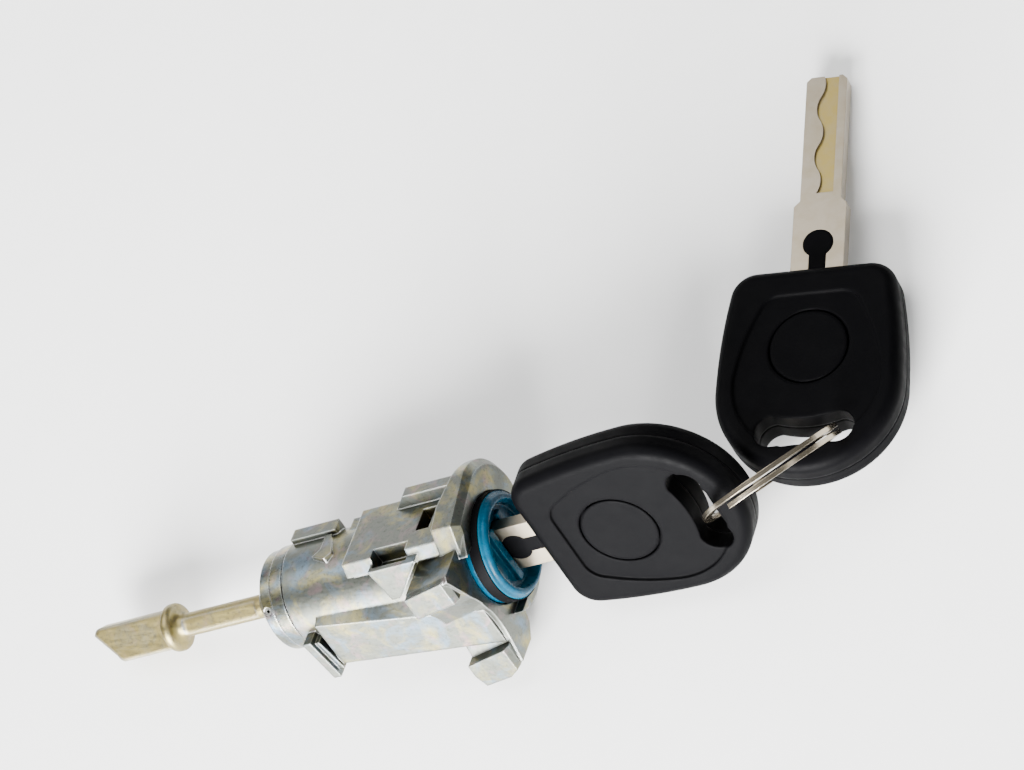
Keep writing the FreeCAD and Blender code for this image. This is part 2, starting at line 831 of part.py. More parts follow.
# Wafers and their springs
def build_wafers():
    """The wafers, each a rounded plate with a window for the blade and an ear for its spring."""
    thick = s.wafer_thickness
    radius = s.plug_radius - s.wafer_inset
    rest = s.wafer_ear_height * 0.5 + s.wafer_travel + s.free_gap
    middle = s.wafer_half_width + s.free_gap + s.wafer_spring_radius
    springs = []
    for number in range(SIZES["wafer_count"]):
        front = -s.wafer_first - s.wafer_pitch * number + thick * 0.5
        disc = cylinder(front, radius, thick)
        sides = box(front - thick, -s.wafer_half_width, -radius, thick, s.wafer_half_width * 2, radius * 2)
        plate = common(disc, sides)
        ear_low = -s.wafer_ear_height * 0.5
        ear = box(front - thick, s.wafer_half_width, ear_low, thick, s.wafer_ear, s.wafer_ear_height)
        side = s.blade_thickness * 0.5 + s.free_gap
        height = s.blade_half_width + s.wafer_travel + s.free_gap
        window = box(front - thick, -side, -height, thick, side * 2, height * 2)
        keep(cut(fuse(plate, ear), window), f"wafer_{number + 1}", LOCK)
        springs.append(cylinder(front - thick * 0.5, s.wafer_spring_radius, s.wafer_spring_length, middle, rest, "Z"))
    keep(fuse(*springs), "wafer_springs", LOCK)


# Washer, seal and face cap
def build_front_and_rear_rings():
    """The washer behind the sleeve and the seal round the face cap."""
    inside = s.plug_radius
    outside = s.plug_radius + s.running_gap + s.sleeve_wall
    front = -s.plug_length + s.washer_length
    washer = cut(cylinder(front, outside, s.washer_length), cylinder(front, inside, s.washer_length))
    keep(washer, "thrust_washer", LOCK)
    body = new_body("cap_seal")
    near, far = s.seal_place - s.seal_half_length, s.seal_place + s.seal_half_length
    low, high = s.seal_radius - s.seal_wire, s.seal_radius + s.seal_wire
    ring = [(near, low), (far, low), (far, high), (near, high)]
    revolve(body, new_sketch(body, "XY_Plane", 0, outlines=[ring]), "H_Axis")
    keep(body, "cap_seal", LOCK)


def build_cap():
    """The plastic cap pressed on the plug's head, dished round a ribbed key slot."""
    body = new_body("front_cap")
    inner = s.plug_radius + s.running_gap + s.sleeve_wall
    floor = s.cap_front - s.cap_dish_depth
    groove = s.seal_radius - s.seal_wire
    back = s.free_gap - s.cap_seat_depth
    rim = s.cap_rim_round
    inset = rim * (1 - math.sqrt(0.5))
    profile = [
        (-s.plug_face, 0),
        (-s.plug_face, inner),
        (back, inner),
        (back, s.cap_radius),
        (s.seal_place - s.seal_half_length, s.cap_radius),
        (s.seal_place - s.seal_half_length, groove),
        (s.seal_place + s.seal_half_length, groove),
        (s.seal_place + s.seal_half_length, s.cap_radius),
        (s.cap_front - rim, s.cap_front_radius),
        (s.cap_front, s.cap_front_radius - rim, s.cap_front - inset, s.cap_front_radius - inset),
        (s.cap_front, s.cap_dish_radius + rim),
        (floor, s.cap_dish_radius),
        (floor, 0),
    ]
    revolve(body, new_sketch(body, "XY_Plane", 0, outlines=[profile]), "H_Axis")
    side = s.blade_thickness * 0.5 + s.cap_rib_gap
    tall = s.blade_base_half_width + s.free_gap
    end = s.cap_rib_length * 0.5
    for near, far in ((side, side + s.cap_rib_width), (-side - s.cap_rib_width, -side)):
        rib = [(near, -end), (far, -end), (far, end), (near, end)]
        pad(body, new_sketch(body, "YZ_Plane", floor, outlines=[rib]), s.cap_rib_height, False)
    pocket(body, new_sketch(body, "YZ_Plane", s.cap_front, outlines=[rectangle(side, tall)]), s.cap_front + s.plug_face)
    return keep(body, "front_cap", LOCK)


# Coils
def biarc(start, leave, end, arrive):
    """Two arcs from start to end that keep both tangents."""
    run = end - start
    both = leave + arrive
    spread = 2 * (1 - leave.dot(arrive))
    reach = (math.sqrt(run.dot(both) ** 2 + spread * run.dot(run)) - run.dot(both)) / spread
    middle = (start + leave * reach + end - arrive * reach) * 0.5
    return [arc_from(start, leave, middle), arc_from(end, arrive * -1, middle)]


def arc_from(start, leave, end):
    """The arc that leaves start along a tangent and reaches end."""
    chord = end - start
    across = chord - leave * chord.dot(leave)
    across.normalize()
    centre = start + across * (chord.dot(chord) / (2 * chord.dot(across)))
    outward = (start + end) * 0.5 - centre
    outward.normalize()
    return Part.Arc(start, centre + outward * (start - centre).Length, end).toShape()


def coil_path(radius, angles, rise):
    """Arcs through a coil about Z. The rise gives the height and its slope at an angle in turns."""
    stations = []
    for turn in angles:
        height, slope = rise(turn)
        angle = 2 * math.pi * turn
        place = FreeCAD.Vector(radius * math.cos(angle), radius * math.sin(angle), height)
        tangent = FreeCAD.Vector(-math.sin(angle), math.cos(angle), slope / (2 * math.pi * radius))
        tangent.normalize()
        stations.append((place, tangent))
    edges = []
    for (start, leave), (end, arrive) in zip(stations, stations[1:]):
        edges.extend(biarc(start, leave, end, arrive))
    return Part.Wire(Part.__sortEdges__(edges)), stations[0]


def flat_section(start, leave, deep, wide):
    """The wire's oblong section at the coil's start, square to the coil."""
    outward = FreeCAD.Vector(1, 0, 0)
    upward = outward.cross(leave)
    corners = [(-deep, -wide), (deep, -wide), (deep, wide), (-deep, wide), (-deep, -wide)]
    return Part.makePolygon([start + outward * x + upward * z for x, z in corners])


def sweep(path, profile):
    """A solid tube of the profile along the path."""
    shell = Part.BRepOffsetAPI.MakePipeShell(path)
    shell.add(profile)
    shell.build()
    shell.makeSolid()
    return shell.shape()


def least_gap(path, radius, wire):
    """The smallest gap between neighbouring turns, measured on points of the path."""
    points = path.discretize(Distance=0.5)
    apart = int(math.pi * radius / 0.5)
    pairs = ((a - b).Length for i, a in enumerate(points) for b in points[i + apart:])
    return min(pairs) - wire


def build_return_spring():
    """The torsion spring between the washer and the driver's hub."""
    radius = SIZES["spring_radius"]
    pitch = SIZES["spring_pitch"]
    turns = SIZES["spring_turns"]
    steps = int(turns * 4)
    angles = [turns * step / steps for step in range(steps + 1)]
    path, (start, leave) = coil_path(radius, angles, lambda turn: (pitch * turn, pitch))
    wire = flat_section(start, leave, SIZES["spring_wire"] / 2, SIZES["spring_wire"] / 2)
    print("return spring gap", round(least_gap(path, radius, SIZES["spring_wire"]), 3))
    spring = doc.addObject("Part::Feature", "spring")
    spring.Shape = sweep(path, wire)
    turned = FreeCAD.Rotation(FreeCAD.Vector(0, 1, 0), -90)
    place = FreeCAD.Placement(FreeCAD.Vector(-(s.plug_length + s.spring_past_plug).value, 0, 0), turned)
    return keep(spring, "return_spring", LOCK.multiply(place))


def build_split_ring():
    """The split ring: two flat turns of flat wire joined by a jog, with their ends beside it."""
    radius = SIZES["ring_radius"]
    half = SIZES["ring_pitch"] / 2
    jog = SIZES["ring_jog_start"]
    after = jog + SIZES["ring_jog_length"]
    angles = [0, jog / 3, jog * 2 / 3, jog, after, after + 1 / 4, after + 2 / 4, after + 3 / 4]
    path, (start, leave) = coil_path(radius, angles, lambda turn: (-half if turn <= jog else half, 0))
    deep, wide = SIZES["ring_wire_depth"] / 2, SIZES["ring_wire_width"] / 2
    section = flat_section(start, leave, deep, wide)
    print("split ring gap", round(least_gap(path, radius, SIZES["ring_wire_width"]), 3))
    ring = doc.addObject("Part::Feature", "ring")
    ring.Shape = sweep(path, section)
    heading = FreeCAD.Rotation(FreeCAD.Vector(0, 0, 1), SIZES["ring_heading"])
    lean = FreeCAD.Rotation(FreeCAD.Vector(0, 1, 0), SIZES["ring_lean"])
    spin = FreeCAD.Rotation(FreeCAD.Vector(0, 0, 1), SIZES["ring_start"])
    spot = FreeCAD.Vector(SIZES["ring_x"], SIZES["ring_y"], SIZES["ring_z"])
    return keep(ring, "split_ring", FreeCAD.Placement(spot, heading.multiply(lean).multiply(spin)))


# Driver at the rear
def build_driver():
    """The driver disc with its hub and socket, and the cone pressed on its spigot."""
    body = new_body("driver_disc")
    hub = s.plug_radius + s.running_gap + s.sleeve_wall
    rim = barrel_end + s.disc_hub_gap
    pad(body, new_sketch(body, "YZ_Plane", -disc_front, [(0, 0, hub)]), rim - disc_front)
    pad(body, new_sketch(body, "YZ_Plane", -rim, [(0, 0, s.disc_radius)]), s.disc_rim_length)
    cone_front = rim + s.disc_rim_length + s.cone_gap
    spigot = cone_front + s.spigot_length - rim
    pad(body, new_sketch(body, "YZ_Plane", -rim, [(0, 0, s.spigot_radius)]), spigot)
    half = s.tongue_side * 0.5 + s.free_gap
    depth = s.plug_length + s.tongue_length + s.free_gap - disc_front
    pocket(body, new_sketch(body, "YZ_Plane", -disc_front, outlines=[rectangle(half, half)]), depth)
    keep(body, "driver_disc", LOCK)

    body = new_body("driver_cone")
    bottom = cone_front + s.spigot_length
    profile = [
        (-cone_front, s.spigot_radius),
        (-cone_front, s.cone_radius),
        (-cone_front - s.cone_rim_length, s.cone_radius),
        (-cone_front - s.cone_length, s.cone_nose_radius),
        (-cone_front - s.cone_length, s.shaft_radius),
        (-shaft_front, s.shaft_radius),
        (-shaft_front, 0),
        (-bottom, 0),
        (-bottom, s.spigot_radius),
    ]
    revolve(body, new_sketch(body, "XY_Plane", 0, outlines=[profile]), "H_Axis")
    pin_place = barrel_end + s.pin_past_barrel
    hole = new_sketch(body, "XZ_Plane", s.cone_radius, [(-pin_place, 0, s.pin_radius)])
    pocket(body, hole, s.cone_radius - s.spigot_radius)
    keep(body, "driver_cone", TAIL)

    length = s.cone_radius - s.spigot_radius - s.pin_sunk
    start = s.pin_sunk - s.cone_radius
    pin = cylinder(-pin_place, s.pin_radius, length, start, 0, "Y")
    hollow = cylinder(-pin_place, s.pin_hole, length, start, 0, "Y")
    keep(cut(pin, hollow), "roll_pin", TAIL)


def build_tail():
    """The tail shaft with a flat, a thin round collar and a slanted paddle."""
    body = new_body("tail_shaft")
    collar = s.tail_collar_front
    rear = collar + s.tail_collar_length
    rim, edge = s.tail_collar_radius, s.tail_collar_round
    foot = s.shaft_radius + s.tail_flare_rise
    inset = edge * (1 - math.sqrt(0.5))
    profile = [
        (-shaft_front, 0),
        (-shaft_front, s.shaft_radius),
        (s.tail_collar_flare - collar, s.shaft_radius),
        (-collar, foot, -collar + s.tail_collar_flare * (1 - math.sqrt(0.5)), foot - s.tail_flare_rise * math.sqrt(0.5)),
        (-collar, rim - edge),
        (-collar - edge, rim, -collar - inset, rim - inset),
        (edge - rear, rim),
        (-rear, rim - edge, inset - rear, rim - inset),
        (-rear, 0),
    ]
    revolve(body, new_sketch(body, "XY_Plane", 0, outlines=[profile]), "H_Axis")
    root = (collar + rear) * 0.5
    run, fall = s.paddle_round_run, s.paddle_round_drop
    low_end = s.tail_end - s.paddle_slant
    near = 1 - math.sqrt(0.5)
    blade = [
        (-root, -s.paddle_low),
        (-root, s.paddle_up),
        (run - s.tail_end, s.paddle_up),
        (-s.tail_end, s.paddle_up - fall, run * near - s.tail_end, s.paddle_up - fall * near),
        (-low_end, fall - s.paddle_low),
        (run - low_end, -s.paddle_low, run * near - low_end, fall * near - s.paddle_low),
    ]
    half = s.paddle_thickness * 0.5
    pad(body, new_sketch(body, "XZ_Plane", -half, outlines=[blade]), s.paddle_thickness, False)
    nose = barrel_end + s.disc_hub_gap + s.disc_rim_length + s.cone_gap + s.cone_length
    beyond = s.shaft_radius + s.free_gap
    flat = [
        (s.tail_collar_flare - collar, -s.shaft_flat),
        (-nose - s.shaft_radius, -s.shaft_flat),
        (-nose - s.shaft_radius, -beyond),
        (s.tail_collar_flare - collar, -beyond),
    ]
    pocket(body, new_sketch(body, "XY_Plane", s.shaft_radius, outlines=[flat]), s.shaft_radius * 2)
    return keep(body, "tail_shaft", TAIL)


# Keys
def bow_outline():
    """The bow's outline in tangent arcs: a straight top, round corners, swelling sides and a round end."""
    wide, side, corner = s.bow_half_width, s.bow_side_radius, s.bow_corner_radius
    centre = s.bow_length - wide
    side_x = wide - side
    run = side - corner
    rise = centre - corner
    across = (run * run - rise * rise).root()
    corner_x = side_x + across
    meet_x = side_x + side * across / run
    meet_y = side * rise / run - centre
    middle = side_x + (side * side - centre * centre * 0.25).root()
    bulge = corner * math.sqrt(0.5)
    return [
        (corner_x, 0),
        (meet_x, meet_y, corner_x + bulge, bulge - corner),
        (wide, -centre, middle, -centre * 0.5),
        (-wide, -centre, 0, -s.bow_length),
        (-meet_x, meet_y, -middle, -centre * 0.5),
        (-corner_x, 0, -corner_x - bulge, bulge - corner),
    ]


def panel_outline():
    """The dished panel inside the bow's rim."""
    top, wide, corner = s.panel_top_half_width, s.panel_half_width, s.panel_corner
    shoulder = s.panel_top + corner
    half = (shoulder + s.panel_wide_place) * 0.5
    side = top + s.panel_corner_pull
    middle = (side + wide) * 0.5 + s.panel_sag
    pull = s.panel_corner_pull
    return [
        (top - corner, -s.panel_top),
        (side, -shoulder, top - pull, -s.panel_top - pull),
        (wide, -s.panel_wide_place, middle, -half),
        (-wide, -s.panel_wide_place, 0, -s.panel_end),
        (-side, -shoulder, -middle, -half),
        (corner - top, -s.panel_top, pull - top, -s.panel_top - pull),
    ]


def slot_outline():
    """The kidney slot for the ring, bent round the panel's end."""
    place, lobe, end = s.slot_place, s.slot_lobe, s.slot_half_length
    return [
        (end, lobe - place, 0, -s.slot_neck_top),
        (end, -place - lobe, end + lobe, -place),
        (-end, -place - lobe, 0, -s.slot_neck_low),
        (-end, lobe - place, -end - lobe, -place),
    ]


def build_shell(label, place, badged):
    """One moulded half of a bow, drawn from the parting plane outwards."""
    body = new_body(label)
    gap = s.parting_gap * 0.5
    outer = s.bow_half_thickness
    pad(body, new_sketch(body, "XY_Plane", gap, outlines=[bow_outline()]), outer - gap, False)
    high = edges_where(body.Shape, lambda e: e.BoundBox.ZMin > SIZES["bow_half_thickness"] - 0.01)
    dress(body, "Fillet", high, "Radius", s.bow_round)
    pocket(body, new_sketch(body, "XY_Plane", outer, outlines=[panel_outline()]), s.panel_depth)
    pocket(body, new_sketch(body, "XY_Plane", outer, outlines=[slot_outline()]), outer)
    tang = [
        (-s.tang_half_width, 0),
        (s.tang_half_width, 0),
        (s.tang_half_width, -s.blade_tang),
        (-s.tang_half_width, -s.blade_tang),
    ]
    pocket(body, new_sketch(body, "XY_Plane", 0, outlines=[tang]), s.blade_thickness * 0.5, False)
    half = s.chip_length * 0.5
    chip = new_sketch(body, "YZ_Plane", -half, [(-s.chip_place, 0, s.chip_radius)])
    pocket(body, chip, s.chip_length, False)
    if badged:
        recess = s.badge_radius + s.badge_groove
        face = outer - s.panel_depth
        pocket(body, new_sketch(body, "XY_Plane", face, [(0, -s.badge_place, recess)]), s.badge_thickness)
    return keep(body, label, place)


def build_blade(label, place):
    """A steel blade with a wide base, a bevelled tip, a tang and a wavy track milled in each face."""
    body = new_body(label)
    half = s.blade_thickness * 0.5
    narrow, base, tang = s.blade_half_width, s.blade_base_half_width, s.tang_half_width
    bevel = s.blade_tip_bevel
    outline = [
        (-tang, -s.blade_tang),
        (tang, -s.blade_tang),
        (tang, 0),
        (base, 0),
        (base, s.blade_step - base + narrow),
        (narrow, s.blade_step),
        (narrow, s.blade_tip - bevel),
        (narrow - bevel, s.blade_tip),
        (bevel - narrow, s.blade_tip),
        (-narrow, s.blade_tip - bevel),
        (-narrow, s.blade_step),
        (-base, s.blade_step - base + narrow),
        (-base, 0),
        (-tang, 0),
    ]
    pad(body, new_sketch(body, "XY_Plane", -half, outlines=[outline]), s.blade_thickness, False)
    pocket(body, new_sketch(body, "XY_Plane", half, outlines=[keyhole()]), s.blade_thickness)
    for side in (1, -1):
        track = track_outline(side)
        sketch = new_sketch(body, "XY_Plane", half * side, outlines=[track])
        pocket(body, sketch, s.track_depth, side == 1)
    return keep(body, label, place)


def keyhole():
    """The keyhole shape of the plastic tongue let into the blade."""
    stem = s.tongue_stem * 0.5
    reach = s.tongue_eye_place - s.tongue_eye_start
    return [
        (stem, 0),
        (stem, reach),
        (-stem, reach, 0, s.tongue_eye_place + s.tongue_eye_radius),
        (-stem, 0),
    ]


def track_outline(side):
    """The milled track seen on one face: one straight edge and one wavy edge."""
    start, tip = s.track_start, s.blade_tip + s.blade_tip_bevel
    count = SIZES["track_waves"]
    step = (tip - start) / count
    points = [(s.track_edge * side, tip), (s.track_edge * side, start)]
    edge = s.track_shift * side
    for number in range(count + 1):
        place = start + step * number
        if number == 0:
            points.append((edge, place))
            continue
        swing = s.track_wave * (0.5 if number % 2 else -0.5) * side
        points.append((edge, place, edge + swing, place - step * 0.5))
    return points


def build_key(prefix, place):
    """One key: blade, tongue, chip, badge and the two halves of its bow."""
    half = s.blade_thickness * 0.5
    build_blade(f"{prefix}_blade", place)
    body = new_body(f"{prefix}_tongue")
    pad(body, new_sketch(body, "XY_Plane", -half, outlines=[keyhole()]), s.blade_thickness, False)
    keep(body, f"{prefix}_tongue", place)
    over = FreeCAD.Placement(FreeCAD.Vector(0, 0, 0), FreeCAD.Rotation(FreeCAD.Vector(0, 1, 0), 180))
    build_shell(f"{prefix}_front_shell", place, True)
    build_shell(f"{prefix}_back_shell", place.multiply(over), False)
    body = new_body(f"{prefix}_badge")
    face = s.bow_half_thickness - s.panel_depth - s.badge_thickness
    badge = new_sketch(body, "XY_Plane", face, [(0, -s.badge_place, s.badge_radius)])
    pad(body, badge, s.badge_thickness, False)
    keep(body, f"{prefix}_badge", place)
    body = new_body(f"{prefix}_chip")
    ends = new_sketch(body, "YZ_Plane", s.chip_length * 0.5, [(-s.chip_place, 0, s.chip_radius)])
    pad(body, ends, s.chip_length)
    keep(body, f"{prefix}_chip", place)


def key_in_lock():
    """The inserted key: its tip to the rear, its width up and its shown face towards the viewer."""
    across, along, out = FreeCAD.Vector(0, 0, 1), FreeCAD.Vector(-1, 0, 0), FreeCAD.Vector(0, -1, 0)
    turn = FreeCAD.Rotation(across, along, out, "XYZ")
    return LOCK.multiply(FreeCAD.Placement(FreeCAD.Vector(SIZES["key_reach"], 0, 0), turn))


def spare_on_bench():
    """The spare key: nearly flat on the bench with its tip away and a little low."""
    heading = FreeCAD.Rotation(FreeCAD.Vector(0, 0, 1), SIZES["spare_heading"])
    drop = FreeCAD.Rotation(FreeCAD.Vector(1, 0, 0), -SIZES["spare_tip_drop"])
    roll = FreeCAD.Rotation(FreeCAD.Vector(0, 1, 0), SIZES["spare_roll"])
    spot = FreeCAD.Vector(SIZES["spare_forward"], SIZES["spare_back"], SIZES["spare_up"])
    return FreeCAD.Placement(spot, heading.multiply(drop).multiply(roll))


TAIL = LOCK.multiply(FreeCAD.Placement(
    FreeCAD.Vector(0, 0, 0), FreeCAD.Rotation(FreeCAD.Vector(1, 0, 0), SIZES["tail_turn"])
))

build_sleeve()
build_plug()
build_wafers()
build_front_and_rear_rings()
build_cap()
build_return_spring()
build_driver()
build_tail()
build_key("inserted_key", key_in_lock())
build_key("spare_key", spare_on_bench())
build_split_ring()

doc.recompute()
for thing in doc.Objects:
    if "Invalid" in thing.State or "Error" in thing.State:
        raise RuntimeError(f"{thing.Name} failed: {thing.State}")
for thing in parts:
    if thing.Shape.isNull() or not thing.Shape.isValid():
        raise RuntimeError(f"{thing.Label} has no valid shape")
os.makedirs("parts", exist_ok=True)
for thing in parts:
    thing.Shape.exportStep(f"parts/{thing.Label}.step")
    print(thing.Label, len(thing.Shape.Solids), round(thing.Shape.Volume, 1))
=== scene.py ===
import bpy
from mathutils import Euler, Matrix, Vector


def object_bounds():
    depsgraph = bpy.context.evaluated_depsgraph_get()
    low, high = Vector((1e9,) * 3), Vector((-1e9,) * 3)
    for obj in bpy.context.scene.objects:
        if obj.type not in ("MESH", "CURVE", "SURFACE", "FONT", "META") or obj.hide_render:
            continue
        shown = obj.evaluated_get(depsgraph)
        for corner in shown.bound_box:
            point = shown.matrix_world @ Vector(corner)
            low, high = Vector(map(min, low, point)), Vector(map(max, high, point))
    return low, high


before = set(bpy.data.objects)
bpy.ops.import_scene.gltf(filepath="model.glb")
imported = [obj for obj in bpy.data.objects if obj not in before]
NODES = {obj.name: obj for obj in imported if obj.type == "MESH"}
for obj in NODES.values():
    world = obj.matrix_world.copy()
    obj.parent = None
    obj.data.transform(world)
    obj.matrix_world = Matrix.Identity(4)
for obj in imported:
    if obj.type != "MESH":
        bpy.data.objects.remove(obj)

bl_info = {
    "name": "Door lock cylinder finishes",
    "version": (1, 0, 0),
    "blender": (4, 5, 0),
    "location": "3D View > Sidebar > Door lock",
    "description": "Finishes for a car door lock cylinder, its two keys and their split ring",
    "category": "Object",
}

CAD_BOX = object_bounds()
KEYS = ("inserted_key", "spare_key")
WAFERS = sorted(name for name in NODES if name.startswith("wafer_") and name != "wafer_springs")
MM = 0.001

# Rays for a shaded edge or corner
SHADE_SAMPLES = 6
# Cosine of a rounded edge's turn where it is rubbed in full, and where it isn't rubbed
EDGE_FULL, EDGE_NONE = 0.8, 0.98
# Openness of a corner where its painted shade is full, and where there is none
CORNER_FULL, CORNER_NONE = 0.35, 0.85

# Specular levels, under a plastic's usual 0.5, as the photographed ones stay dark in the light
BOW_SHEEN = 0.02
CAP_SHEEN = 0.1
RUBBER_SHEEN = 0.04

# The floor of a blade's track: cosine of its turn from the broad face, slack of its height, its material
FLAT_FACING = 0.999
TRACK_SLACK = 0.12 * MM
TRACK_SLOT = 1


# Values and nodes
def linear(text):
    """An sRGB hex colour as linear red, green, blue and alpha."""
    channels = [int(text[i:i + 2], 16) / 255 for i in (1, 3, 5)]
    return tuple(c / 12.92 if c <= 0.04045 else ((c + 0.055) / 1.055) ** 2.4 for c in channels) + (1.0,)


def swatch(name, description, text):
    """A colour that a user can change, from its sRGB hex value."""
    return bpy.props.FloatVectorProperty(
        name=name, description=description, default=linear(text), size=4, subtype="COLOR",
        min=0.0, max=1.0,
    )


def length(name, description, millimetres):
    """A length that a user can change, kept in metres, from its millimetres."""
    return bpy.props.FloatProperty(
        name=name, description=description, default=millimetres * MM, min=0.0,
        subtype="DISTANCE", unit="LENGTH",
    )


def scale_of(size):
    """The texture scale whose features are this many metres across."""
    return 1.0 / size


def add_node(tree, kind, settings=None, **inputs):
    """A node with its settings, its values and its links."""
    node = tree.nodes.new(kind)
    for name, value in (settings or {}).items():
        setattr(node, name, value)
    for name, value in inputs.items():
        plain = name.replace("_", " ")
        socket = next((s for s in node.inputs if s.identifier == name), None) or node.inputs[plain]
        if isinstance(value, bpy.types.NodeSocket):
            tree.links.new(value, socket)
        else:
            socket.default_value = value
    return node


class Finish:
    """A material being made: its tree, its shader, its object coordinates and ways to vary them."""

    def __init__(self, name):
        self.material = bpy.data.materials.new(name)
        self.material.use_nodes = True
        self.tree = self.material.node_tree
        self.tree.nodes.clear()
        self.shader = self.tree.nodes.new("ShaderNodeBsdfPrincipled")
        output = self.tree.nodes.new("ShaderNodeOutputMaterial")
        self.tree.links.new(self.shader.outputs["BSDF"], output.inputs["Surface"])
        self.place = add_node(self.tree, "ShaderNodeTexCoord").outputs["Object"]

    def noise(self, size, detail=3.0, roughness=0.5, distortion=0.0, stretch=None):
        """Soft noise with features of a size in metres, drawn out along an axis where stretch says so."""
        place = self.place
        if stretch:
            place = add_node(self.tree, "ShaderNodeMapping", Vector=place, Scale=stretch).outputs["Vector"]
        node = add_node(
            self.tree, "ShaderNodeTexNoise", Vector=place, Scale=scale_of(size), Detail=detail,
            Roughness=roughness, Distortion=distortion,
        )
        return node.outputs["Fac"]

    def span(self, value, low, high, to_low, to_high):
        """A value stretched from one range to another and held there."""
        node = add_node(
            self.tree, "ShaderNodeMapRange",
            Value=value, From_Min=low, From_Max=high, To_Min=to_low, To_Max=to_high,
        )
        return node.outputs["Result"]

    def share(self, value, most, start=0.0, full=1.0):
        """A share that is nothing where the value is under start and the most where it is over full."""
        return self.span(value, start, full, 0.0, most)

    def blend(self, amount, first, second):
        """One colour turning to another."""
        node = add_node(
            self.tree, "ShaderNodeMix", {"data_type": "RGBA"},
            Factor_Float=amount, A_Color=first, B_Color=second,
        )
        return next(s for s in node.outputs if s.identifier == "Result_Color")

    def edges(self, radius):
        """The normal of edges rounded to a radius, and how far it turns: 1 on an edge, 0 on the flat."""
        bevel = add_node(self.tree, "ShaderNodeBevel", {"samples": SHADE_SAMPLES}, Radius=radius)
        rounded = bevel.outputs["Normal"]
        facing = add_node(self.tree, "ShaderNodeNewGeometry").outputs["Normal"]
        dot = add_node(
            self.tree, "ShaderNodeVectorMath", {"operation": "DOT_PRODUCT"},
            Vector=rounded, Vector_001=facing,
        )
        return rounded, self.span(dot.outputs["Value"], EDGE_FULL, EDGE_NONE, 1.0, 0.0)

    def corners(self, distance):
        """How deep a point lies in a corner: 1 in the corner and 0 in the open."""
        node = add_node(
            self.tree, "ShaderNodeAmbientOcclusion", {"samples": SHADE_SAMPLES}, Distance=distance
        )
        return self.span(node.outputs["AO"], CORNER_FULL, CORNER_NONE, 1.0, 0.0)

    def bump(self, height, depth, strength, normal=None):
        """A raised grain of a depth in metres."""
        inputs = {"Height": height, "Distance": depth, "Strength": strength}
        if normal:
            inputs["Normal"] = normal
        return add_node(self.tree, "ShaderNodeBump", **inputs).outputs["Normal"]

    def done(self, **inputs):
        """The material, with values and links on the shader's own sockets."""
        for name, value in inputs.items():
            socket = self.shader.inputs[name.replace("_", " ")]
            if isinstance(value, bpy.types.NodeSocket):
                self.tree.links.new(value, socket)
            else:
                socket.default_value = value
        return self.material


def dress(node, *materials):
    """A CAD node in its finish."""
    thing = NODES[node]
    thing.data.materials.clear()
    for material in materials:
        thing.data.materials.append(material)
    return thing


# Metals
def zinc_casting(name, tone, size, metal, film, rough, edge_radius):
    """Zinc alloy, die cast, tumbled and passivated."""
    finish = Finish(name)
    # The clear film over the zinc gives the eye patches of straw, rose and blue a few millimetres wide
    straw = finish.noise(size.film_patch, detail=4.0, roughness=0.6, distortion=0.8)
    rose = finish.noise(size.film_patch * 0.55, detail=3.0, roughness=0.5, distortion=1.4)
    blue = finish.noise(size.film_patch * 0.8, detail=4.0, roughness=0.6, distortion=1.0)
    colour = finish.blend(finish.share(straw, start=0.5, full=0.7, most=film), metal, tone.straw_film)
    colour = finish.blend(finish.share(rose, start=0.55, full=0.74, most=film * 0.7), colour, tone.rose_film)
    colour = finish.blend(finish.share(blue, start=0.5, full=0.72, most=film * 0.9), colour, tone.blue_film)
    # Tumbling leaves dull grey specks under a millimetre wide, and the corners get painted shade, darker
    # where they close in
    specks = finish.noise(size.speck, detail=5.0, roughness=0.7)
    colour = finish.blend(finish.share(specks, start=0.52, full=0.7, most=0.7), colour, tone.dull_speck)
    corner_shade_amount = finish.share(finish.corners(1.2 * MM), most=0.55)
    colour = finish.blend(corner_shade_amount, colour, tone.painted_corner_shade)
    # The cast edges are painted lighter: partly wear where handling rubs the zinc bright, partly a painted
    # highlight
    rounded, edge = finish.edges(edge_radius)
    colour = finish.blend(finish.share(edge, most=0.5), colour, tone.rubbed_edge_and_highlight)
    # Rubbing along the part leaves long dull streaks in the shine
    rubs = finish.noise(0.6 * MM, detail=4.0, roughness=0.65, distortion=0.3, stretch=(0.25, 1.0, 1.4))
    roughness = finish.span(rubs, low=0.35, high=0.7, to_low=rough - 0.02, to_high=rough + 0.06)
    # The die's skin is an orange peel under a millimetre wide
    skin = finish.noise(size.cast_skin, detail=1.0, roughness=0.4)
    normal = finish.bump(skin, depth=0.05 * MM, strength=0.25, normal=rounded)
    return finish.done(Base_Color=colour, Metallic=1.0, Roughness=roughness, Normal=normal)


def plated_steel(name, size, metal, tint, rough, stretch=None):
    """Steel, drawn or stamped and plated: one even colour, with fine tool lines that spread its shine."""
    finish = Finish(name)
    cloud = finish.noise(3.0 * MM, detail=4.0, roughness=0.6)
    colour = finish.blend(finish.share(cloud, start=0.4, full=0.7, most=0.6), metal, tint)
    rounded, _ = finish.edges(size.cut_edge)
    # The real lines are a few hundredths of a millimetre apart, drawn coarser here so that they show
    lines = finish.noise(size.tool_line, detail=0.0, stretch=stretch)
    roughness = finish.span(lines, low=0.3, high=0.7, to_low=rough - 0.01, to_high=rough + 0.03)
    return finish.done(Base_Color=colour, Metallic=1.0, Roughness=roughness, Normal=rounded)


def stamped_brass(name, size, metal, tint):
    """Brass, stamped and tumbled: warm yellow that browns a little where it is handled."""
    finish = Finish(name)
    brown = finish.noise(2.5 * MM, detail=5.0, roughness=0.65)
    colour = finish.blend(finish.share(brown, start=0.45, full=0.7, most=0.7), metal, tint)
    rubs = finish.noise(0.5 * MM)
    roughness = finish.span(rubs, low=0.3, high=0.7, to_low=0.24, to_high=0.38)
    rounded, _ = finish.edges(size.cut_edge)
    return finish.done(Base_Color=colour, Metallic=1.0, Roughness=roughness, Normal=rounded)


